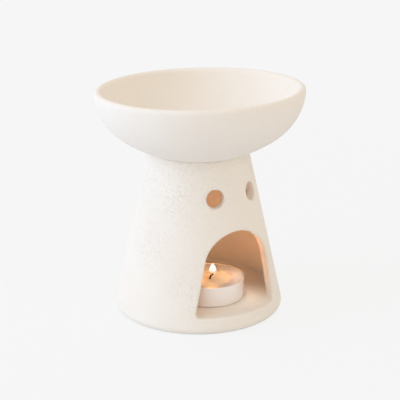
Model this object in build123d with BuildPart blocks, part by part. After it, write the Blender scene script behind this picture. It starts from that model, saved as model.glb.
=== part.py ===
from build123d import *
import os
from math import acos, atan2, cos, degrees, radians, sin, sqrt

# Essential oil burner. A hollow conical stoneware stand with an arched doorway and two round vents
# carries a loose bowl-shaped dish, and a tealight burns on the floor of the stand.
# Lengths are in millimetres and angles in degrees. +Z is up, the origin is the centre of the foot
# on the table, and the doorway faces -Y. Angles round the stand run from the doorway towards +X.

# Stand
stand_foot_radius = 46.3  # outer radius of the cone, carried down to the table
stand_neck_radius = 26.8  # outer radius of the cone, carried up to its top edge
stand_neck_height = 87.0  # height of that edge
stand_wall = 5.2
stand_foot_round = 3.3
neck_bend_height = 5.4  # from the top edge down to where the cone begins to draw in
neck_bend_radius = 13.0
neck_edge_round = 0.3
floor_height = 9.0
floor_corner_round = 0.8
foot_ring_width = 7.0
foot_recess_depth = 3.5
foot_ring_round = 1.0

# Doorway
door_sill_left = 24.6  # from the middle of the doorway to either end of the sill
door_sill_right = 23.6
door_arch_radius = 18.9
door_arch_aside = 1.4  # the hand-cut arch leans a little to one side
door_shoulder_aside = 4.8  # and that side's shoulder is cut fuller
door_shoulder_drop = 2.4  # from the middle of the arch down to the middle of the shoulder
door_crown_drop = 36.2  # from the neck's edge down to the crown of the arch
door_corner_round = 2.0
door_outer_round = 0.9

# Vents
vent_diameter = 9.4
vent_drop = 18.8  # from the neck's edge down to the middle of either vent
vent_half_spread = 22.8  # angle from the middle of the pair to either vent
vent_turn = 6.8  # angle from the doorway to the middle of the pair, which is bored a little to one side
vent_edge_round = 0.5

# Dish
dish_wall = 4.2
dish_underside_radius = 73.0  # the underside is part of a ball, so the dish can rock in its seat
dish_ball_reach = 41.7  # radius at which the ball gives way to the shoulder
dish_shoulder_radius = 31.0
dish_lip_lean = 5.0  # how far the outside of the lip leans out from upright
dish_foot_radius = 16.0
dish_foot_width = 3.5
dish_foot_drop = 1.6  # how far the foot ring stands below the underside
dish_foot_round = 1.0
dish_tilt = 1.3  # the dish sits a little tipped in its seat
dish_high_side = 57.0  # angle round the stand to the raised side
seat_clearance = 0.1

# Tealight
tealight_offset = 13.4  # from the stand's axis towards the doorway
tealight_aside = -1.2  # from the stand's axis towards +X
cup_rim_radius = 18.2
cup_base_radius = 17.8
cup_height = 11.2
cup_wall = 0.4
cup_base_round = 1.2
wax_height = 10.9  # above the underside of the cup
wax_edge_round = 0.6
pool_radius = 11.5  # the wax melts in a round pool about the wick
pool_level = 10.2  # above the underside of the cup
pool_depth = 1.6
wick_diameter = 0.9
wick_offset = 2.5  # from the cup's axis
wick_offset_side = -33.0  # angle round the stand towards which the wick is set off
wick_rise = 0.4  # straight length that stands above the pool
wick_bend_radius = 2.5
wick_bend = 80.0
wick_bend_side = 57.0  # angle round the stand towards which the wick leans
sustainer_radius = 6.5
sustainer_plate = 0.3
sustainer_tube_height = 3.6
sustainer_tube_wall = 0.4
wax_clearance = 0.05

# Room that cutting tools reach past the faces they cut
cut_overrun = 5.0

# Lines of the cone
cone_lean = atan2(stand_foot_radius - stand_neck_radius, stand_neck_height)
cone_slope = (stand_foot_radius - stand_neck_radius) / stand_neck_height
wall_across = stand_wall / cos(cone_lean)
stand_blank_height = stand_neck_height + cut_overrun
bend_height = stand_neck_height - neck_bend_height
neck_bend_turn = degrees((stand_blank_height - bend_height) / neck_bend_radius)


def cone_radius(height):
    """Outer radius of the stand's cone at a height above the table."""
    return stand_foot_radius - cone_slope * height


def chamber_radius(height):
    """Inner radius of the stand at a height above the table."""
    return cone_radius(height) - wall_across


def round_direction(angle):
    """Level direction at an angle round the stand, measured from the doorway."""
    return Vector(sin(radians(angle)), -cos(radians(angle)), 0)


# The seat is a ring of a ball around the same centre as the dish's underside
seat_radius = dish_underside_radius + seat_clearance
dish_centre_height = stand_neck_height + sqrt(seat_radius**2 - stand_neck_radius**2)

# Stand: cone, chamber, foot recess and seat, then the doorway and the vents
with BuildPart() as burner_body:
    with BuildSketch(Plane.XZ) as cone_section:
        with BuildLine():
            flank = Line((stand_foot_radius, 0), (cone_radius(bend_height), bend_height))
            neck = JernArc(flank @ 1, flank % 1, neck_bend_radius, neck_bend_turn)
            Polyline(neck @ 1, (0, bend_height), (0, 0), (stand_foot_radius, 0))
        make_face()
        foot_corner = cone_section.vertices().sort_by(Axis.X)[-1]
        fillet(foot_corner, radius=stand_foot_round)
    revolve(axis=Axis.Z)
    with BuildSketch(Plane.XZ) as chamber_section:
        with BuildLine():
            Polyline(
                (0, floor_height),
                (chamber_radius(floor_height), floor_height),
                (chamber_radius(stand_blank_height), stand_blank_height),
                (0, stand_blank_height),
                close=True,
            )
        make_face()
        floor_corner = chamber_section.vertices().sort_by(Axis.X)[-1]
        fillet(floor_corner, radius=floor_corner_round)
    revolve(axis=Axis.Z, mode=Mode.SUBTRACT)
    foot_ring_radius = stand_foot_radius - stand_foot_round - foot_ring_width
    with BuildSketch(Plane.XY):
        Circle(foot_ring_radius)
    extrude(amount=foot_recess_depth, mode=Mode.SUBTRACT)
    with Locations((0, 0, dish_centre_height)):
        Sphere(seat_radius, mode=Mode.SUBTRACT)
    with BuildSketch(Plane.XZ) as doorway:
        with BuildLine():
            Line((-door_sill_left, floor_height), (door_sill_right, floor_height))
            arch_height = stand_neck_height - door_crown_drop - door_arch_radius
            shoulder_height = arch_height - door_shoulder_drop
            CenterArc((door_arch_aside, arch_height), door_arch_radius, 0, 180)
            CenterArc((door_shoulder_aside, shoulder_height), door_arch_radius, 0, 180)
        make_hull()
        fillet(doorway.vertices().group_by(Axis.Y)[0], radius=door_corner_round)
    extrude(amount=stand_foot_radius + cut_overrun, mode=Mode.SUBTRACT)
    vent_height = stand_neck_height - vent_drop
    for side in (-1, 1):
        vent_direction = round_direction(vent_turn + side * vent_half_spread)
        with BuildSketch(Plane(origin=(0, 0, vent_height), z_dir=vent_direction)):
            Circle(vent_diameter / 2)
        extrude(amount=stand_foot_radius, mode=Mode.SUBTRACT)
    outer_cone = burner_body.faces().filter_by(GeomType.CONE).sort_by(SortBy.AREA)[-1]
    door_loop = ShapeList(outer_cone.inner_wires()).sort_by(SortBy.LENGTH)[-1]
    fillet(door_loop.edges(), radius=door_outer_round)
    outer_cone = burner_body.faces().filter_by(GeomType.CONE).sort_by(SortBy.AREA)[-1]
    vent_loops = ShapeList(outer_cone.inner_wires()).sort_by(SortBy.LENGTH)[:-1]
    fillet([loop.edge() for loop in vent_loops], radius=vent_edge_round)
    neck_edge = burner_body.edges().filter_by(GeomType.CIRCLE).group_by(Axis.Z)[-1]
    fillet(neck_edge, radius=neck_edge_round)
    foot_ring_edge = burner_body.edges().filter_by(GeomType.CIRCLE).group_by(Axis.Z)[0].sort_by(SortBy.RADIUS)[0]
    fillet(foot_ring_edge, radius=foot_ring_round)

# Dish: an even wall whose outside runs from a ball-shaped underside into a tighter shoulder and a lip
lip_radius = dish_wall / 2
lip_lean = radians(dish_lip_lean)
ball_end = -acos(dish_ball_reach / dish_underside_radius)
shoulder_start = degrees(ball_end)
shoulder_turn = -dish_lip_lean - shoulder_start
shoulder_centre = Vector(cos(ball_end), sin(ball_end)) * (dish_underside_radius - dish_shoulder_radius)
lip_centre = shoulder_centre + Vector(cos(lip_lean), -sin(lip_lean)) * (dish_shoulder_radius - lip_radius)

# The section of the dish stands on the ball's centre, tipped up towards the raised side
up = Vector(0, 0, 1)
high_side = round_direction(dish_high_side)
dish_across = high_side * cos(radians(dish_tilt)) + up * sin(radians(dish_tilt))
dish_plane = Plane((0, 0, dish_centre_height), x_dir=dish_across, z_dir=high_side.cross(up))
dish_axis = Axis(dish_plane.origin, dish_plane.y_dir)

with BuildPart() as oil_dish:
    with BuildSketch(dish_plane):
        with BuildLine():
            underside = CenterArc((0, 0), dish_underside_radius, -90, 90 + shoulder_start)
            CenterArc(shoulder_centre, dish_shoulder_radius, shoulder_start, shoulder_turn)
            lip_outside = CenterArc(lip_centre, lip_radius, -dish_lip_lean, 90)
            JernArc(lip_outside @ 1, lip_outside % 1, lip_radius, 90)
            CenterArc(shoulder_centre, dish_shoulder_radius - dish_wall, shoulder_start, shoulder_turn)
            bottom = CenterArc((0, 0), dish_underside_radius - dish_wall, -90, 90 + shoulder_start)
            Line(underside @ 0, bottom @ 0)
        make_face()
    revolve(axis=dish_axis)
    with BuildSketch(dish_plane) as dish_foot_section:
        with BuildLine():
            foot_inside = dish_foot_radius - dish_foot_width
            foot_top = -sqrt((dish_underside_radius - lip_radius) ** 2 - dish_foot_radius**2)
            foot_bottom = -dish_underside_radius - dish_foot_drop
            Polyline(
                (foot_inside, foot_top),
                (dish_foot_radius, foot_top),
                (dish_foot_radius, foot_bottom),
                (foot_inside, foot_bottom),
                close=True,
            )
        make_face()
        fillet(dish_foot_section.vertices().group_by(Axis.Y)[0], radius=dish_foot_round)
    revolve(axis=dish_axis)

# Tealight: the cup and the wax share one upright axis, the wick, its sustainer and the melted pool another
tealight_plane = Plane((tealight_aside, -tealight_offset, 0), x_dir=(1, 0, 0), z_dir=(0, -1, 0))
tealight_axis = Axis((tealight_aside, -tealight_offset, 0), (0, 0, 1))
cup_slope = (cup_rim_radius - cup_base_radius) / cup_height


def cup_inner_radius(height):
    """Inner radius of the cup at a height above its underside."""
    return cup_base_radius + cup_slope * height - cup_wall


with BuildPart() as tealight_cup:
    with BuildSketch(tealight_plane) as cup_section:
        with BuildLine():
            Polyline(
                (0, floor_height),
                (cup_base_radius, floor_height),
                (cup_rim_radius, floor_height + cup_height),
                (0, floor_height + cup_height),
                close=True,
            )
        make_face()
        cup_corner = cup_section.vertices().group_by(Axis.Y)[0].sort_by(Axis.X)[-1]
        fillet(cup_corner, radius=cup_base_round)
    revolve(axis=tealight_axis)
    with BuildSketch(tealight_plane) as cup_hollow:
        with BuildLine():
            Polyline(
                (0, floor_height + cup_wall),
                (cup_inner_radius(cup_wall), floor_height + cup_wall),
                (cup_inner_radius(cup_height), floor_height + cup_height),
                (0, floor_height + cup_height),
                close=True,
            )
        make_face()
        hollow_corner = cup_hollow.vertices().group_by(Axis.Y)[0].sort_by(Axis.X)[-1]
        fillet(hollow_corner, radius=cup_base_round - cup_wall)
    revolve(axis=tealight_axis, mode=Mode.SUBTRACT)

wax_bottom = floor_height + cup_wall
wax_top = floor_height + wax_height
pool_top = floor_height + pool_level
pool_bottom = pool_top - pool_depth
wick_radius = wick_diameter / 2
wick_place = tealight_plane.origin + round_direction(wick_offset_side) * wick_offset
wick_side = round_direction(wick_bend_side)
wick_plane = Plane(wick_place, x_dir=wick_side, z_dir=wick_side.cross(up))
wick_axis = Axis(wick_place, (0, 0, 1))
sustainer_tube_radius = wick_radius + wax_clearance + sustainer_tube_wall
sustainer_tube_top = wax_bottom + sustainer_plate + sustainer_tube_height

with BuildPart() as tealight_wax:
    with BuildSketch(tealight_plane) as wax_section:
        with BuildLine():
            Polyline(
                (0, wax_bottom),
                (cup_inner_radius(cup_wall) - wax_clearance, wax_bottom),
                (cup_inner_radius(wax_height) - wax_clearance, wax_top),
                (0, wax_top),
                close=True,
            )
        make_face()
        wax_corner = wax_section.vertices().group_by(Axis.Y)[0].sort_by(Axis.X)[-1]
        fillet(wax_corner, radius=cup_base_round - cup_wall)
        rim_corner = wax_section.vertices().group_by(Axis.Y)[-1].sort_by(Axis.X)[-1]
        fillet(rim_corner, radius=wax_edge_round)
    revolve(axis=tealight_axis)
    with BuildSketch(wick_plane):
        with BuildLine():
            Polyline(
                (0, wax_bottom),
                (sustainer_radius + wax_clearance, wax_bottom),
                (sustainer_radius + wax_clearance, wax_bottom + sustainer_plate),
                (sustainer_tube_radius + wax_clearance, wax_bottom + sustainer_plate),
                (sustainer_tube_radius + wax_clearance, sustainer_tube_top),
                (wick_radius + wax_clearance, sustainer_tube_top),
                (wick_radius + wax_clearance, pool_bottom),
                (pool_radius, pool_bottom),
                (pool_radius, wax_top + cut_overrun),
                (0, wax_top + cut_overrun),
                close=True,
            )
        make_face()
    revolve(axis=wick_axis, mode=Mode.SUBTRACT)
    pool_edge = tealight_wax.edges().filter_by(GeomType.CIRCLE).group_by(Axis.Z)[-1].sort_by(SortBy.RADIUS)[0]
    fillet(pool_edge, radius=wax_edge_round)

with BuildPart() as melt_pool:
    with BuildSketch(Plane.XY.offset(pool_bottom)):
        with Locations((wick_place.X, wick_place.Y)):
            Circle(pool_radius - wax_clearance)
            Circle(wick_radius + wax_clearance, mode=Mode.SUBTRACT)
    extrude(amount=pool_depth)

with BuildPart() as wick_sustainer:
    with BuildSketch(wick_plane):
        with BuildLine():
            Polyline(
                (wick_radius + wax_clearance, wax_bottom),
                (sustainer_radius, wax_bottom),
                (sustainer_radius, wax_bottom + sustainer_plate),
                (sustainer_tube_radius, wax_bottom + sustainer_plate),
                (sustainer_tube_radius, sustainer_tube_top),
                (wick_radius + wax_clearance, sustainer_tube_top),
                close=True,
            )
        make_face()
    revolve(axis=wick_axis)

with BuildPart() as wick:
    with BuildLine(wick_plane) as wick_path:
        stem = Line((0, wax_bottom), (0, pool_top + wick_rise))
        JernArc(stem @ 1, stem % 1, wick_bend_radius, -wick_bend)
    with BuildSketch(Plane(wick_path.wires()[0] @ 0)):
        Circle(wick_radius)
    sweep(path=wick_path.wires()[0])

os.makedirs("parts", exist_ok=True)
burner_body.part.label = "burner_body"
export_step(burner_body.part, "parts/burner_body.step")
oil_dish.part.label = "oil_dish"
export_step(oil_dish.part, "parts/oil_dish.step")
tealight_cup.part.label = "tealight_cup"
export_step(tealight_cup.part, "parts/tealight_cup.step")
tealight_wax.part.label = "tealight_wax"
export_step(tealight_wax.part, "parts/tealight_wax.step")
melt_pool.part.label = "melt_pool"
export_step(melt_pool.part, "parts/melt_pool.step")
wick_sustainer.part.label = "wick_sustainer"
export_step(wick_sustainer.part, "parts/wick_sustainer.step")
wick.part.label = "wick"
export_step(wick.part, "parts/wick.step")
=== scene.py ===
"""Looks of a stoneware essential oil burner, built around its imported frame.

The stand, the dish and the tealight each have a class that makes their pieces and dresses them.
The frame is in metres, +Z up, with the doorway facing -Y. A field that holds a length ends in its unit.
"""

from __future__ import annotations

import logging
import math
from collections.abc import Sequence
from dataclasses import dataclass
from enum import Enum

import bmesh
import bpy
from mathutils import Matrix, Vector


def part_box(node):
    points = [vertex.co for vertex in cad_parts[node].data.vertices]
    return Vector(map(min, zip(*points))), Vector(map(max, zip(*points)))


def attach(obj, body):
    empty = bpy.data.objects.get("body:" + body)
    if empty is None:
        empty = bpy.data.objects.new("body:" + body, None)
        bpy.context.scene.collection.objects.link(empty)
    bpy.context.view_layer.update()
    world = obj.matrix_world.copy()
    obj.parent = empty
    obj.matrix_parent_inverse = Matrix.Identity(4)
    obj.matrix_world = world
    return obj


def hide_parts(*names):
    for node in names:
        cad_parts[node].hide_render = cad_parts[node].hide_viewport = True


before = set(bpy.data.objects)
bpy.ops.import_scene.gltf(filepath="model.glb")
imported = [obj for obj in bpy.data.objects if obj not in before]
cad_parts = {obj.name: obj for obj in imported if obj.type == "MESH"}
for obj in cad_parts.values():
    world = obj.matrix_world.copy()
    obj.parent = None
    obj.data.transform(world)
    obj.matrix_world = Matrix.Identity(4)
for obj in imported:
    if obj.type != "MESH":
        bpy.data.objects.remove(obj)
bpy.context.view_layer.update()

MM = 0.001
WELD_M = 1e-6
LOG = logging.getLogger("oil_burner")

Tree = bpy.types.NodeTree
Socket = bpy.types.NodeSocket
Colour = tuple[float, float, float, float]
Place = tuple[float, float, float]

# Sockets that share their names with others of the same node, so they are found by number:
# the colours of a Mix node, then the whole numbers of a Compare node.
MIX_FIRST, MIX_SECOND, MIX_RESULT = 6, 7, 2
WHOLE_FIRST, WHOLE_SECOND = 2, 3


class Body(Enum):
    """Moving bodies of the frame."""

    STAND = "stand"
    DISH = "dish"
    TEALIGHT = "tealight"


def linear(hex_colour: str) -> Colour:
    """Turn an sRGB hex colour into linear RGBA.

    Args:
        hex_colour: six hex digits after a hash sign.

    Returns:
        Red, green, blue and an alpha of one.
    """
    shares = [int(hex_colour[i : i + 2], 16) / 255 for i in (1, 3, 5)]
    red, green, blue = (s / 12.92 if s <= 0.04045 else ((s + 0.055) / 1.055) ** 2.4 for s in shares)
    return red, green, blue, 1.0


def per_metre(size_mm: float) -> float:
    """Scale of a pattern whose features are this many millimetres across."""
    return 1 / (size_mm * MM)


def add_node(
    tree: Tree, kind: str, settings: dict | None = None, links: dict | None = None
) -> bpy.types.Node:
    """Add a node with its settings and its inputs.

    Args:
        tree: node tree that takes the node.
        kind: the node's type name.
        settings: attributes to set on the node.
        links: input name or index to a constant or to another node's output socket.

    Returns:
        The new node.
    """
    node = tree.nodes.new(kind)
    for name, value in (settings or {}).items():
        setattr(node, name, value)
    for key, value in (links or {}).items():
        if isinstance(value, Socket):
            tree.links.new(value, node.inputs[key])
        else:
            node.inputs[key].default_value = value
    return node


def new_material(name: str) -> tuple[bpy.types.Material, Tree, bpy.types.Node]:
    """Start a node material.

    Args:
        name: the material's name.

    Returns:
        The material, its emptied tree and its output node.
    """
    material = bpy.data.materials.new(name)
    material.use_nodes = True
    material.node_tree.nodes.clear()
    return material, material.node_tree, add_node(material.node_tree, "ShaderNodeOutputMaterial")


def direct_ray(tree: Tree) -> Socket:
    """Tell the rays that show a surface, straight, mirrored or through glass, from those that light others.

    Args:
        tree: node tree that takes the nodes.

    Returns:
        A socket that is one for a ray that shows the surface and zero otherwise.
    """
    ray = add_node(tree, "ShaderNodeLightPath").outputs
    seen = ray["Is Camera Ray"]
    for kind in ("Is Glossy Ray", "Is Transmission Ray"):
        seen = add_node(tree, "ShaderNodeMath", {"operation": "MAXIMUM"}, {0: seen, 1: ray[kind]}).outputs[0]
    return seen


@dataclass(frozen=True)
class FiredClay:
    """Unglazed stoneware, pressed and sponged, then fired once.

    It scatters light evenly with no gloss, its tone drifts softly across a piece, sand gives it a fine grain
    where the sponge has worn the skin and where the neck was trimmed, and a few grains of iron burn out to
    dark pinholes. Real sand is finer, and the grain is drawn as coarse as it needs to show. The limits are
    values of a noise that runs from zero to one.
    """

    name: str
    light: str
    dark: str
    drift_mm: float = 26.0
    drift_detail: float = 3.0
    grain_mm: float = 1.2
    grain_depth_mm: float = 0.175
    grain_detail: float = 2.0
    grain_roughness: float = 0.6
    grit_limits: tuple[float, float] = (0.5, 0.72)
    patch_mm: float = 34.0
    patch_detail: float = 1.0
    worn_limits: tuple[float, float] = (0.35, 0.65)
    least_worn_share: float = 0.25
    trimmed_from_mm: float = 60.0
    trimmed_to_mm: float = 86.0
    trimmed_share: float = 0.4
    pinhole_spacing_mm: float = 9.0
    pinhole_mm: float = 0.55
    pinhole_share: float = 0.1
    pinhole_colour: str = "#8d8478"
    roughness: float = 0.88
    ior: float = 1.45

    def build(self) -> bpy.types.Material:
        """Make the material.

        Returns:
            The finished material.
        """
        material, tree, output = new_material(self.name)
        place = add_node(tree, "ShaderNodeTexCoord").outputs["Object"]
        pinholes = self.pinholes(tree, place)
        shader = add_node(
            tree,
            "ShaderNodeBsdfPrincipled",
            None,
            {
                "Base Color": self.tone(tree, place, pinholes),
                "Roughness": self.roughness,
                "IOR": self.ior,
                "Normal": self.relief(tree, place, pinholes),
            },
        )
        tree.links.new(shader.outputs["BSDF"], output.inputs["Surface"])
        return material

    def pinholes(self, tree: Tree, place: Socket) -> Socket:
        """Put a pinhole in some of the cells of an uneven grid.

        Args:
            tree: the material's node tree.
            place: coordinates on the piece.

        Returns:
            A socket that is one in a pinhole and zero elsewhere.
        """
        cells = add_node(
            tree, "ShaderNodeTexVoronoi", None, {"Vector": place, "Scale": per_metre(self.pinhole_spacing_mm)}
        )
        radius = self.pinhole_mm / self.pinhole_spacing_mm
        near = add_node(
            tree,
            "ShaderNodeMapRange",
            {"interpolation_type": "SMOOTHSTEP"},
            {
                "Value": cells.outputs["Distance"],
                "From Min": radius / 2,
                "From Max": radius,
                "To Min": 1.0,
                "To Max": 0.0,
            },
        )
        chosen = add_node(
            tree,
            "ShaderNodeMath",
            {"operation": "LESS_THAN"},
            {0: cells.outputs["Color"], 1: self.pinhole_share},
        )
        pinhole = add_node(
            tree,
            "ShaderNodeMath",
            {"operation": "MULTIPLY"},
            {0: near.outputs["Result"], 1: chosen.outputs[0]},
        )
        return pinhole.outputs[0]

    def tone(self, tree: Tree, place: Socket, pinholes: Socket) -> Socket:
        """Let the clay's tone drift and darken its pinholes.

        Args:
            tree: the material's node tree.
            place: coordinates on the piece.
            pinholes: where the pinholes are.

        Returns:
            The colour's socket.
        """
        drift = add_node(
            tree,
            "ShaderNodeTexNoise",
            None,
            {"Vector": place, "Scale": per_metre(self.drift_mm), "Detail": self.drift_detail},
        )
        clay = add_node(
            tree,
            "ShaderNodeMix",
            {"data_type": "RGBA"},
            {"Factor": drift.outputs["Fac"], MIX_FIRST: linear(self.dark), MIX_SECOND: linear(self.light)},
        )
        spotted = add_node(
            tree,
            "ShaderNodeMix",
            {"data_type": "RGBA"},
            {
                "Factor": pinholes,
                MIX_FIRST: clay.outputs[MIX_RESULT],
                MIX_SECOND: linear(self.pinhole_colour),
            },
        )
        return spotted.outputs[MIX_RESULT]

    def relief(self, tree: Tree, place: Socket, pinholes: Socket) -> Socket:
        """Raise the sand grains where the skin is worn or trimmed, and sink the pinholes.

        Args:
            tree: the material's node tree.
            place: coordinates on the piece.
            pinholes: where the pinholes are.

        Returns:
            The bumped normal's socket.
        """
        grain = add_node(
            tree,
            "ShaderNodeTexNoise",
            None,
            {
                "Vector": place,
                "Scale": per_metre(self.grain_mm),
                "Detail": self.grain_detail,
                "Roughness": self.grain_roughness,
            },
        )
        grit = add_node(
            tree,
            "ShaderNodeMapRange",
            {"interpolation_type": "SMOOTHSTEP"},
            {"Value": grain.outputs["Fac"], "From Min": self.grit_limits[0], "From Max": self.grit_limits[1]},
        )
        patches = add_node(
            tree,
            "ShaderNodeTexNoise",
            None,
            {"Vector": place, "Scale": per_metre(self.patch_mm), "Detail": self.patch_detail},
        )
        worn = add_node(
            tree,
            "ShaderNodeMapRange",
            {"interpolation_type": "SMOOTHSTEP"},
            {
                "Value": patches.outputs["Fac"],
                "From Min": self.worn_limits[0],
                "From Max": self.worn_limits[1],
                "To Min": self.least_worn_share,
                "To Max": 1.0,
            },
        )
        axes = add_node(tree, "ShaderNodeSeparateXYZ", None, {0: place})
        trimmed = add_node(
            tree,
            "ShaderNodeMapRange",
            None,
            {
                "Value": axes.outputs["Z"],
                "From Min": self.trimmed_from_mm * MM,
                "From Max": self.trimmed_to_mm * MM,
                "To Max": self.trimmed_share,
            },
        )
        rough = add_node(
            tree,
            "ShaderNodeMath",
            {"operation": "ADD"},
            {0: worn.outputs["Result"], 1: trimmed.outputs["Result"]},
        )
        sand = add_node(
            tree,
            "ShaderNodeMath",
            {"operation": "MULTIPLY"},
            {0: grit.outputs["Result"], 1: rough.outputs[0]},
        )
        height = add_node(
            tree, "ShaderNodeMath", {"operation": "SUBTRACT"}, {0: sand.outputs[0], 1: pinholes}
        )
        bump = add_node(
            tree,
            "ShaderNodeBump",
            None,
            {"Strength": 1.0, "Distance": self.grain_depth_mm * MM, "Height": height.outputs[0]},
        )
        return bump.outputs["Normal"]


@dataclass(frozen=True)
class PlainFinish:
    """A finish of one colour with one fine pattern as its relief."""

    name: str
    colour: str
    pattern_mm: float
    relief_mm: float
    relief_strength: float
    roughness: float
    pattern_detail: float = 2.0

    def build(self) -> bpy.types.Material:
        """Make the material.

        Returns:
            The finished material.
        """
        material, tree, output = new_material(self.name)
        place = add_node(tree, "ShaderNodeTexCoord").outputs["Object"]
        bump = add_node(
            tree,
            "ShaderNodeBump",
            None,
            {
                "Strength": self.relief_strength,
                "Distance": self.relief_mm * MM,
                "Height": self.pattern(tree, place),
            },
        )
        shader = add_node(
            tree,
            "ShaderNodeBsdfPrincipled",
            None,
            {
                "Base Color": linear(self.colour),
                "Roughness": self.roughness,
                "Normal": bump.outputs["Normal"],
                **self.look(),
            },
        )
        tree.links.new(shader.outputs["BSDF"], output.inputs["Surface"])
        return material

    def pattern(self, tree: Tree, place: Socket) -> Socket:
        """Draw the pattern of the relief, a soft unevenness where a finish has no other.

        Args:
            tree: the material's node tree.
            place: coordinates on the piece.

        Returns:
            The height's socket.
        """
        wave = add_node(
            tree,
            "ShaderNodeTexNoise",
            None,
            {"Vector": place, "Scale": per_metre(self.pattern_mm), "Detail": self.pattern_detail},
        )
        return wave.outputs["Fac"]

    def look(self) -> dict[str, float | tuple[float, ...]]:
        """Give the shader's other settings, by socket name."""
        return {}


@dataclass(frozen=True)
class DrawnAluminium(PlainFinish):
    """Thin aluminium, deep drawn into a cup: a soft satin mirror with faint upright drawing lines."""

    name: str = "drawn_aluminium"
    colour: str = "#f7f1ec"
    pattern_mm: float = 0.5
    relief_mm: float = 0.02
    relief_strength: float = 0.35
    roughness: float = 0.55
    metal_share: float = 0.6
    squeeze_share: float = 0.06

    def pattern(self, tree: Tree, place: Socket) -> Socket:
        """Draw the unevenness out into upright lines.

        Args:
            tree: the material's node tree.
            place: coordinates on the piece.

        Returns:
            The height's socket.
        """
        drawn = add_node(
            tree, "ShaderNodeMapping", None, {"Vector": place, "Scale": (1.0, 1.0, self.squeeze_share)}
        )
        return super().pattern(tree, drawn.outputs["Vector"])

    def look(self) -> dict[str, float | tuple[float, ...]]:
        """Give the share of bare metal."""
        return {"Metallic": self.metal_share}


@dataclass(frozen=True)
class ParaffinWax(PlainFinish):
    """Paraffin wax that has flowed: milky, softly glossy and rippled.

    Light spreads under its skin, red light furthest.
    """

    pattern_mm: float = 4.0
    relief_mm: float = 0.15
    relief_strength: float = 0.4
    roughness: float = 0.42
    pattern_detail: float = 1.0
    ior: float = 1.43
    spread_mm: float = 6.0
    spread_shares: tuple[float, float, float] = (1.0, 0.8, 0.65)

    def look(self) -> dict[str, float | tuple[float, ...]]:
        """Give the gloss and the spread of light under the skin."""
        return {
            "IOR": self.ior,
            "Subsurface Weight": 1.0,
            "Subsurface Radius": self.spread_shares,
            "Subsurface Scale": self.spread_mm * MM,
        }


@dataclass(frozen=True)
class CharredCotton(PlainFinish):
    """Braided cotton burnt to carbon: black, dry and finely ribbed."""

    name: str = "burnt_cotton_braid"
    colour: str = "#1c1512"
    pattern_mm: float = 0.45
    relief_mm: float = 0.1
    relief_strength: float = 0.8
    roughness: float = 0.95

    def pattern(self, tree: Tree, place: Socket) -> Socket:
        """Draw the plaits of the braid.

        Args:
            tree: the material's node tree.
            place: coordinates on the piece.

        Returns:
            The height's socket.
        """
        braid = add_node(
            tree, "ShaderNodeTexVoronoi", None, {"Vector": place, "Scale": per_metre(self.pattern_mm)}
        )
        return braid.outputs["Distance"]


@dataclass(frozen=True)
class TinPlate(PlainFinish):
    """Thin steel with a bright tin skin, stamped: a clean mirror with slight waviness."""

    name: str = "tin_plate"
    colour: str = "#c9c7c4"
    pattern_mm: float = 1.2
    relief_mm: float = 0.03
    relief_strength: float = 0.3
    roughness: float = 0.28

    def look(self) -> dict[str, float | tuple[float, ...]]:
        """Make it bare metal."""
        return {"Metallic": 1.0}


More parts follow.
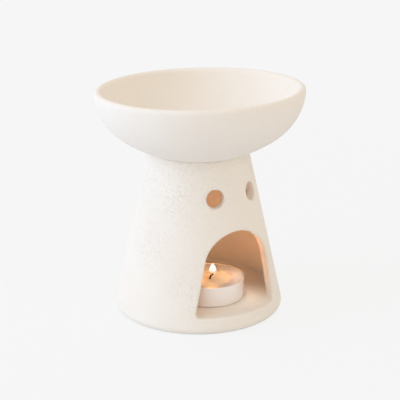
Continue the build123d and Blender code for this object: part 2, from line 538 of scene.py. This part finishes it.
@dataclass(frozen=True)
class CandleFlame:
    """Burning wax vapour: glowing soot that is white hot in the middle and amber where it thins out.

    Most of its light leaves the upper part, since the foot of a flame is cool and clear, and less leaves the
    front, where the bent wick stands. The limits are the parts of a face's outward direction that point up
    and backwards.
    """

    name: str = "candle_flame"
    base: str = "#ffcf98"
    heart: str = "#fffef6"
    tip: str = "#fff4da"
    heart_shares: tuple[float, float] = (0.5, 0.78)
    clear_share: float = 0.45
    lamp_colour: str = "#ffa54d"
    lamp_strength: float = 130.0
    low_share: float = 0.038
    upward_limits: tuple[float, float] = (-0.2, 0.6)
    front_share: float = 0.45
    front_limits: tuple[float, float] = (-0.9, 0.1)

    def build(self, low: float, high: float) -> bpy.types.Material:
        """Make the material.

        Args:
            low: height of the flame's foot, in metres.
            high: height of the flame's tip, in metres.

        Returns:
            The finished material.
        """
        material, tree, output = new_material(self.name)
        place = add_node(tree, "ShaderNodeTexCoord").outputs["Object"]
        axes = add_node(tree, "ShaderNodeSeparateXYZ", None, {0: place})
        share = add_node(
            tree, "ShaderNodeMapRange", None, {"Value": axes.outputs["Z"], "From Min": low, "From Max": high}
        )
        both = add_node(
            tree,
            "ShaderNodeMixShader",
            None,
            {0: direct_ray(tree), 1: self.light(tree), 2: self.glow(tree, share.outputs["Result"])},
        )
        tree.links.new(both.outputs[0], output.inputs["Surface"])
        return material

    def glow(self, tree: Tree, share: Socket) -> Socket:
        """Colour the flame from foot to tip and let its foot fade out.

        Args:
            tree: the material's node tree.
            share: height in the flame, zero at its foot and one at its tip.

        Returns:
            The shader that shows the flame.
        """
        ramp = add_node(tree, "ShaderNodeValToRGB", None, {"Fac": share})
        stops = ramp.color_ramp.elements
        stops[0].position, stops[0].color = 0.0, linear(self.base)
        stops[1].position, stops[1].color = 1.0, linear(self.tip)
        for position in self.heart_shares:
            stops.new(position).color = linear(self.heart)
        soot = add_node(tree, "ShaderNodeEmission", None, {"Color": ramp.outputs["Color"], "Strength": 1.0})
        clear = add_node(
            tree,
            "ShaderNodeMapRange",
            {"interpolation_type": "SMOOTHSTEP"},
            {"Value": share, "From Max": self.clear_share, "To Min": 1.0, "To Max": 0.0},
        )
        see_through = add_node(tree, "ShaderNodeBsdfTransparent")
        shown = add_node(
            tree,
            "ShaderNodeMixShader",
            None,
            {0: clear.outputs["Result"], 1: soot.outputs[0], 2: see_through.outputs[0]},
        )
        return shown.outputs[0]

    def light(self, tree: Tree) -> Socket:
        """Send the flame's light out, mostly upwards and least to the front.

        Args:
            tree: the material's node tree.

        Returns:
            The shader that lights other surfaces.
        """
        outward = add_node(tree, "ShaderNodeNewGeometry").outputs["Normal"]
        faces = add_node(tree, "ShaderNodeSeparateXYZ", None, {0: outward})
        upward = add_node(
            tree,
            "ShaderNodeMapRange",
            {"interpolation_type": "SMOOTHSTEP"},
            {
                "Value": faces.outputs["Z"],
                "From Min": self.upward_limits[0],
                "From Max": self.upward_limits[1],
                "To Min": self.lamp_strength * self.low_share,
                "To Max": self.lamp_strength,
            },
        )
        backward = add_node(
            tree,
            "ShaderNodeMapRange",
            {"interpolation_type": "SMOOTHSTEP"},
            {
                "Value": faces.outputs["Y"],
                "From Min": self.front_limits[0],
                "From Max": self.front_limits[1],
                "To Min": self.front_share,
                "To Max": 1.0,
            },
        )
        power = add_node(
            tree,
            "ShaderNodeMath",
            {"operation": "MULTIPLY"},
            {0: upward.outputs["Result"], 1: backward.outputs["Result"]},
        )
        lamp = add_node(
            tree,
            "ShaderNodeEmission",
            None,
            {"Color": linear(self.lamp_colour), "Strength": power.outputs[0]},
        )
        return lamp.outputs[0]


@dataclass(frozen=True)
class ClaySkin:
    """Hand-finished skin of a clay piece: soft dents from sponging and a coarse sandy grain, as real relief.

    An even mesh can leave loose crumbs in a tight corner. Those with fewer points than the limit are dropped.
    """

    dent_mm: float = 14.0
    dent_depth_mm: float = 0.12
    grain_mm: float = 2.2
    grain_depth_mm: float = 0.05
    detail: float = 2.0
    seed: float = 3.0
    crumb_points: int = 100

    def tree(self) -> bpy.types.GeometryNodeTree:
        """Build the geometry tree that drops crumbs and presses the relief into a mesh, inwards only.

        Returns:
            The tree, with named inputs for its sizes and its material.
        """
        tree = bpy.data.node_groups.new("clay_skin", "GeometryNodeTree")
        face = tree.interface
        face.new_socket("Geometry", in_out="INPUT", socket_type="NodeSocketGeometry")
        for name in ("Dent scale", "Dent depth", "Grain scale", "Grain depth", "Detail", "Seed"):
            face.new_socket(name, in_out="INPUT", socket_type="NodeSocketFloat")
        face.new_socket("Crumb points", in_out="INPUT", socket_type="NodeSocketInt")
        face.new_socket("Material", in_out="INPUT", socket_type="NodeSocketMaterial")
        face.new_socket("Geometry", in_out="OUTPUT", socket_type="NodeSocketGeometry")
        given = add_node(tree, "NodeGroupInput").outputs
        island = add_node(tree, "GeometryNodeInputMeshIsland")
        points = add_node(
            tree,
            "GeometryNodeAccumulateField",
            {"data_type": "INT"},
            {"Value": 1, "Group ID": island.outputs["Island Index"]},
        )
        crumb = add_node(
            tree,
            "FunctionNodeCompare",
            {"data_type": "INT", "operation": "LESS_THAN"},
            {WHOLE_FIRST: points.outputs["Total"], WHOLE_SECOND: given["Crumb points"]},
        )
        clean = add_node(
            tree,
            "GeometryNodeDeleteGeometry",
            None,
            {"Geometry": given["Geometry"], "Selection": crumb.outputs[0]},
        )
        place = add_node(tree, "GeometryNodeInputPosition").outputs[0]
        normal = add_node(tree, "GeometryNodeInputNormal").outputs[0]
        depths = []
        for kind in ("Dent", "Grain"):
            noise = add_node(
                tree,
                "ShaderNodeTexNoise",
                {"noise_dimensions": "4D"},
                {
                    "Vector": place,
                    "W": given["Seed"],
                    "Scale": given[f"{kind} scale"],
                    "Detail": given["Detail"],
                },
            )
            below = add_node(
                tree, "ShaderNodeMath", {"operation": "SUBTRACT"}, {0: noise.outputs[0], 1: 1.0}
            )
            depth = add_node(
                tree,
                "ShaderNodeMath",
                {"operation": "MULTIPLY"},
                {0: below.outputs[0], 1: given[f"{kind} depth"]},
            )
            depths.append(depth.outputs[0])
        total = add_node(tree, "ShaderNodeMath", {"operation": "ADD"}, {0: depths[0], 1: depths[1]})
        push = add_node(
            tree, "ShaderNodeVectorMath", {"operation": "SCALE"}, {0: normal, "Scale": total.outputs[0]}
        )
        moved = add_node(
            tree, "GeometryNodeSetPosition", None, {"Geometry": clean.outputs[0], "Offset": push.outputs[0]}
        )
        smooth = add_node(tree, "GeometryNodeSetShadeSmooth", None, {"Geometry": moved.outputs[0]})
        whole = add_node(tree, "GeometryNodeRealizeInstances", None, {"Geometry": smooth.outputs[0]})
        dressed = add_node(
            tree,
            "GeometryNodeSetMaterial",
            None,
            {"Geometry": whole.outputs[0], "Material": given["Material"]},
        )
        end = add_node(tree, "NodeGroupOutput")
        tree.links.new(dressed.outputs[0], end.inputs[0])
        return tree

    def press(self, piece: bpy.types.Object, material: bpy.types.Material) -> None:
        """Press the relief into a piece and make the result its plain mesh.

        Args:
            piece: object whose mesh is replaced.
            material: finish of the piece.
        """
        tree = self.tree()
        values = {
            "Dent scale": per_metre(self.dent_mm),
            "Dent depth": self.dent_depth_mm * MM,
            "Grain scale": per_metre(self.grain_mm),
            "Grain depth": self.grain_depth_mm * MM,
            "Detail": self.detail,
            "Seed": self.seed,
            "Crumb points": self.crumb_points,
            "Material": material,
        }
        modifier = piece.modifiers.new("clay_skin", "NODES")
        modifier.node_group = tree
        for item in tree.interface.items_tree:
            if item.in_out == "INPUT" and item.name in values:
                modifier[item.identifier] = values[item.name]
        bake_mesh(piece)


def bake_mesh(piece: bpy.types.Object) -> None:
    """Turn a piece's modifiers into its plain mesh.

    Args:
        piece: object whose modifiers are applied and removed.
    """
    graph = bpy.context.evaluated_depsgraph_get()
    mesh = bpy.data.meshes.new_from_object(piece.evaluated_get(graph))
    old = piece.data
    piece.modifiers.clear()
    piece.data = mesh
    mesh.name = piece.name
    bpy.data.meshes.remove(old)


def new_piece(name: str, mesh: bpy.types.Mesh) -> bpy.types.Object:
    """Link a mesh into the scene as a piece at the origin.

    Args:
        name: the piece's name.
        mesh: its mesh, in place.

    Returns:
        The new object.
    """
    piece = bpy.data.objects.new(name, mesh)
    bpy.context.scene.collection.objects.link(piece)
    return piece


def fired_copy(name: str, node: str, voxel_mm: float, smoothing: int) -> bpy.types.Object:
    """Copy a frame node as an even mesh that lies on the node's surface, with its sharp edges softened.

    Args:
        name: name of the new piece.
        node: frame node to copy.
        voxel_mm: size of the even mesh's cells.
        smoothing: rounds of smoothing that soften the edges.

    Returns:
        The new piece.
    """
    shell = bmesh.new()
    shell.from_mesh(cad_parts[node].data)
    bmesh.ops.remove_doubles(shell, verts=shell.verts, dist=WELD_M)
    mesh = bpy.data.meshes.new(name)
    shell.to_mesh(mesh)
    shell.free()
    piece = new_piece(name, mesh)
    remesh = piece.modifiers.new("even_mesh", "REMESH")
    remesh.mode = "VOXEL"
    remesh.voxel_size = voxel_mm * MM
    settle = piece.modifiers.new("settle", "SHRINKWRAP")
    settle.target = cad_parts[node]
    settle.wrap_method = "NEAREST_SURFACEPOINT"
    relax = piece.modifiers.new("relax", "SMOOTH")
    relax.iterations = smoothing
    bake_mesh(piece)
    return piece


def turned(name: str, outline: Sequence[tuple[float, float]], axis: Matrix, steps: int) -> bpy.types.Object:
    """Turn an outline round an axis into a closed piece.

    Args:
        name: name of the new piece.
        outline: radius and height pairs, from pole to pole.
        axis: frame whose Z is the axis.
        steps: copies of the outline round the axis.

    Returns:
        The new piece.
    """
    lathe = bmesh.new()
    line = [lathe.verts.new((radius, 0, height)) for radius, height in outline]
    edges = [lathe.edges.new(pair) for pair in zip(line, line[1:])]
    bmesh.ops.spin(
        lathe,
        geom=[*line, *edges],
        cent=(0, 0, 0),
        axis=(0, 0, 1),
        angle=math.tau,
        steps=steps,
        use_merge=True,
    )
    bmesh.ops.remove_doubles(lathe, verts=lathe.verts, dist=WELD_M)
    bmesh.ops.recalc_face_normals(lathe, faces=lathe.faces)
    bmesh.ops.transform(lathe, matrix=axis, verts=lathe.verts)
    for face in lathe.faces:
        face.smooth = True
    mesh = bpy.data.meshes.new(name)
    lathe.to_mesh(mesh)
    lathe.free()
    return new_piece(name, mesh)


def dress(piece: bpy.types.Object, material: bpy.types.Material) -> None:
    """Give every face of a piece one finish."""
    piece.data.materials.clear()
    piece.data.materials.append(material)


@dataclass
class Stand:
    """The hollow cone with its doorway, vents and foot."""

    clay: FiredClay
    skin: ClaySkin
    voxel_mm: float = 0.8
    smoothing: int = 1
    neck_band_mm: float = 2.0
    neck_lift_mm: float = 0.6

    def build(self) -> None:
        """Make the stand's visible piece and set it on its body."""
        piece = fired_copy("stand_clay", "burner_body", self.voxel_mm, self.smoothing)
        self.skin.press(piece, self.clay.build())
        self.close_neck(piece)
        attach(piece, Body.STAND.value)
        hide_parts("burner_body")
        LOG.info("%s has %d faces", piece.name, len(piece.data.polygons))

    def close_neck(self, piece: bpy.types.Object) -> None:
        """Raise the edge of the neck by a hair, so that it meets the dish with no gap, as ground clay does.

        Args:
            piece: the stand's visible piece.
        """
        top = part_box("burner_body")[1].z
        band = self.neck_band_mm * MM
        for vertex in piece.data.vertices:
            share = max(0.0, vertex.co.z - (top - band)) / band
            vertex.co.z += self.neck_lift_mm * MM * min(share, 1.0)


@dataclass
class Dish:
    """The loose bowl on the stand's neck."""

    clay: FiredClay
    skin: ClaySkin
    voxel_mm: float = 0.68
    smoothing: int = 1

    def build(self) -> None:
        """Make the dish's visible piece and set it on its body."""
        piece = fired_copy("dish_clay", "oil_dish", self.voxel_mm, self.smoothing)
        self.skin.press(piece, self.clay.build())
        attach(piece, Body.DISH.value)
        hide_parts("oil_dish")
        LOG.info("%s has %d faces", piece.name, len(piece.data.polygons))


@dataclass
class Tealight:
    """The tealight: its cup, set and melted wax, wick and flame.

    The flame is a teardrop whose two curves shape its foot and its tip. It stands a little to one side of
    the wick's foot, where the wick's bend ends.
    """

    cup: DrawnAluminium
    set_wax: ParaffinWax
    melted_wax: ParaffinWax
    wick: CharredCotton
    sustainer: TinPlate
    fire: CandleFlame
    flame_width_mm: float = 3.9
    flame_height_mm: float = 6.1
    flame_lift_mm: float = -0.5
    flame_curves: tuple[float, float] = (0.36, 0.75)
    flame_shift_mm: float = 1.4
    flame_side_deg: float = 57.0
    flame_rows: int = 24
    flame_steps: int = 48
    meniscus_width_mm: float = 3.2
    meniscus_rise_mm: float = 0.6
    meniscus_rows: int = 12
    pool_reach_mm: float = 0.4
    pool_flat_share: float = 0.97
    pool_steps: int = 96

    def build(self) -> None:
        """Dress the tealight's nodes, pour its pool and light its flame."""
        finishes = {
            "tealight_cup": self.cup,
            "tealight_wax": self.set_wax,
            "wick": self.wick,
            "wick_sustainer": self.sustainer,
        }
        for node, finish in finishes.items():
            dress(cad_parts[node], finish.build())
            LOG.info("%s wears %s", node, finish.name)
        self.pour_pool()
        self.light_flame()

    def pour_pool(self) -> None:
        """Make the melted pool, whose edge creeps up the set wax and ends just inside it."""
        low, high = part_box("melt_pool")
        radius = (high.x - low.x) / 2 + self.pool_reach_mm * MM
        width = self.meniscus_width_mm * MM
        depth = high.z - low.z
        outline = [(0.0, 0.0), (radius, 0.0)]
        for row in range(self.meniscus_rows, -1, -1):
            share = row / self.meniscus_rows
            outline.append((radius - width * (1 - share), depth + self.meniscus_rise_mm * MM * share**2))
        outline += [((radius - width) * self.pool_flat_share, depth), (0.0, depth)]
        middle = Matrix.Translation(((low.x + high.x) / 2, (low.y + high.y) / 2, low.z))
        piece = turned("melted_wax", outline, middle, self.pool_steps)
        dress(piece, self.melted_wax.build())
        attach(piece, Body.TEALIGHT.value)
        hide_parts("melt_pool")
        LOG.info("%s lies on %s", piece.name, Body.TEALIGHT.value)

    def light_flame(self) -> None:
        """Make the flame over the wick's tip."""
        plate_low, plate_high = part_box("wick_sustainer")
        wick_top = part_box("wick")[1].z
        side = math.radians(self.flame_side_deg)
        shift = self.flame_shift_mm * MM
        foot = Vector(((plate_low.x + plate_high.x) / 2, (plate_low.y + plate_high.y) / 2, wick_top))
        foot += Vector((math.sin(side) * shift, -math.cos(side) * shift, self.flame_lift_mm * MM))
        foot_curve, tip_curve = self.flame_curves
        widest = foot_curve / (foot_curve + tip_curve)
        full = widest**foot_curve * (1 - widest) ** tip_curve
        outline = []
        for row in range(self.flame_rows + 1):
            share = (1 - math.cos(math.pi * row / self.flame_rows)) / 2
            radius = self.flame_width_mm / 2 * share**foot_curve * (1 - share) ** tip_curve / full
            outline.append((radius * MM, share * self.flame_height_mm * MM))
        piece = turned("flame", outline, Matrix.Translation(foot), self.flame_steps)
        dress(piece, self.fire.build(foot.z, foot.z + self.flame_height_mm * MM))
        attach(piece, Body.TEALIGHT.value)
        LOG.info("%s stands on %s", piece.name, Body.TEALIGHT.value)


@dataclass(frozen=True)
class Panel:
    """A large soft square lamp that faces the object.

    Its place is in metres to the viewer's right, away from the viewer and up.
    """

    name: str
    place_m: Place
    power_w: float
    colour: str
    size_m: float = 0.9


def hang_lamp(lamp: bpy.types.Light, place: Vector, aim: Vector) -> None:
    """Hang a lamp in the scene.

    Args:
        lamp: the lamp's data.
        place: where it hangs.
        aim: point that it faces.
    """
    holder = bpy.data.objects.new(lamp.name, lamp)
    holder.location = place
    holder.rotation_euler = (aim - place).to_track_quat("-Z", "Y").to_euler()
    bpy.context.scene.collection.objects.link(holder)


@dataclass
class Studio:
    """Floor, light and camera.

    The floor shows the background's own colour, apart from the share that takes the object's shadow nearby.
    """

    background: str = "#f6f6f6"
    floor_colour: str = "#e9edf3"
    floor_half_m: float = 3.0
    floor_glow_share: float = 0.88
    floor_glow_strength: float = 1.02
    shadow_reach_m: float = 0.2
    fade_reach_m: float = 0.6
    room_colour: str = "#fbf1e4"
    room_strength: float = 0.88
    panels: tuple[Panel, ...] = (
        Panel("window", (-1.0, -0.25, 0.55), 6.8, "#c4deff"),
        Panel("wall", (0.85, -0.7, 0.4), 0.95, "#fff0df"),
    )
    aim_height_mm: float = 60.0
    glow_from_mm: Place = (10.5, -15.5, 70.0)
    glow_to_mm: Place = (13.2, -24.6, 9.0)
    glow_radius_mm: float = 8.0
    glow_spread_deg: float = 28.0
    glow_blend: float = 0.9
    glow_power_w: float = 0.046
    glow_colour: str = "#fff0e0"
    camera_distance_mm: float = 540.9
    camera_height_mm: float = 234.3
    camera_aside_mm: float = 0.97
    camera_pitch_deg: float = 17.99
    camera_azimuth_deg: float = -33.0
    focal_px: float = 1064.35
    image_px: float = 400.0
    sensor_mm: float = 36.0

    def build(self) -> None:
        """Set up the studio."""
        self.lay_floor()
        self.set_world()
        self.hang_glow()
        for panel in self.panels:
            self.hang_panel(panel)
        self.place_camera()

    def lay_floor(self) -> None:
        """Lay a plain pale floor that keeps the object's shadow and fades into the background further out."""
        half = self.floor_half_m
        corners = [(-half, -half, 0), (half, -half, 0), (half, half, 0), (-half, half, 0)]
        mesh = bpy.data.meshes.new("floor")
        mesh.from_pydata(corners, [], [(0, 1, 2, 3)])
        floor = new_piece("floor", mesh)
        material, tree, output = new_material("paper_floor")
        place = add_node(tree, "ShaderNodeTexCoord").outputs["Object"]
        away = add_node(tree, "ShaderNodeVectorMath", {"operation": "LENGTH"}, {0: place})
        fades = []
        for near in (self.floor_glow_share, self.floor_glow_strength):
            fade = add_node(
                tree,
                "ShaderNodeMapRange",
                {"interpolation_type": "SMOOTHSTEP"},
                {
                    "Value": away.outputs["Value"],
                    "From Min": self.shadow_reach_m,
                    "From Max": self.fade_reach_m,
                    "To Min": near,
                    "To Max": 1.0,
                },
            )
            fades.append(fade.outputs["Result"])
        share, strength = fades
        matte = add_node(tree, "ShaderNodeBsdfDiffuse", None, {"Color": linear(self.floor_colour)})
        glow = add_node(
            tree, "ShaderNodeEmission", None, {"Color": linear(self.background), "Strength": strength}
        )
        part = add_node(tree, "ShaderNodeMath", {"operation": "MULTIPLY"}, {0: direct_ray(tree), 1: share})
        both = add_node(
            tree,
            "ShaderNodeMixShader",
            None,
            {0: part.outputs[0], 1: matte.outputs[0], 2: glow.outputs[0]},
        )
        tree.links.new(both.outputs[0], output.inputs["Surface"])
        dress(floor, material)

    def set_world(self) -> None:
        """Fill the room with soft light and show the pale background."""
        world = bpy.data.worlds.new("studio")
        world.use_nodes = True
        tree = world.node_tree
        tree.nodes.clear()
        output = add_node(tree, "ShaderNodeOutputWorld")
        room, seen = (
            add_node(tree, "ShaderNodeBackground", None, {"Color": linear(colour), "Strength": strength})
            for colour, strength in ((self.room_colour, self.room_strength), (self.background, 1.0))
        )
        both = add_node(
            tree,
            "ShaderNodeMixShader",
            None,
            {0: direct_ray(tree), 1: room.outputs[0], 2: seen.outputs[0]},
        )
        tree.links.new(both.outputs[0], output.inputs["Surface"])
        bpy.context.scene.world = world

    def hang_glow(self) -> None:
        """Hang the faint glow that falls off the dish's underside onto the chamber's floor."""
        lamp = bpy.data.lights.new("dish_glow", "SPOT")
        lamp.spot_size = math.radians(self.glow_spread_deg)
        lamp.spot_blend = self.glow_blend
        lamp.shadow_soft_size = self.glow_radius_mm * MM
        lamp.energy = self.glow_power_w
        lamp.color = linear(self.glow_colour)[:3]
        hang_lamp(lamp, Vector(self.glow_from_mm) * MM, Vector(self.glow_to_mm) * MM)

    def hang_panel(self, panel: Panel) -> None:
        """Hang a panel, placed as the viewer sees it.

        Args:
            panel: the lamp to hang.
        """
        lamp = bpy.data.lights.new(panel.name, "AREA")
        lamp.shape = "SQUARE"
        lamp.size = panel.size_m
        lamp.energy = panel.power_w
        lamp.color = linear(panel.colour)[:3]
        turn = Matrix.Rotation(math.radians(self.camera_azimuth_deg), 3, "Z")
        hang_lamp(lamp, turn @ Vector(panel.place_m), Vector((0, 0, self.aim_height_mm * MM)))

    def place_camera(self) -> None:
        """Put the camera where the photograph was taken from."""
        camera = bpy.data.cameras.new("camera")
        camera.sensor_width = self.sensor_mm
        camera.lens = self.focal_px / self.image_px * self.sensor_mm
        holder = bpy.data.objects.new("camera", camera)
        turn = math.radians(self.camera_azimuth_deg)
        place = Vector((self.camera_aside_mm, -self.camera_distance_mm, self.camera_height_mm)) * MM
        place.rotate(Matrix.Rotation(turn, 3, "Z"))
        holder.location = place
        holder.rotation_euler = (math.radians(90 - self.camera_pitch_deg), 0, turn)
        bpy.context.scene.collection.objects.link(holder)
        bpy.context.scene.camera = holder


def main() -> None:
    """Build every sub-assembly, then the studio."""
    logging.basicConfig(level=logging.INFO, format="%(name)s: %(message)s")
    bpy.context.scene.view_settings.view_transform = "Standard"
    stand_clay = FiredClay("sanded_stoneware", light="#f4efe7", dark="#f0eae1")
    dish_clay = FiredClay(
        "smoothed_stoneware", light="#f4efe8", dark="#f1ebe3", grain_depth_mm=0.055, pinhole_share=0.08
    )
    Stand(stand_clay, ClaySkin()).build()
    Dish(dish_clay, ClaySkin(dent_depth_mm=0.08, grain_depth_mm=0.0, seed=8.0)).build()
    Tealight(
        cup=DrawnAluminium(),
        set_wax=ParaffinWax("paraffin_wax", "#dddde0"),
        melted_wax=ParaffinWax("melted_paraffin", "#eaece4", pattern_mm=9.0, roughness=0.3, spread_mm=3.0),
        wick=CharredCotton(),
        sustainer=TinPlate(),
        fire=CandleFlame(),
    ).build()
    Studio().build()


if __name__ == "__main__":
    main()
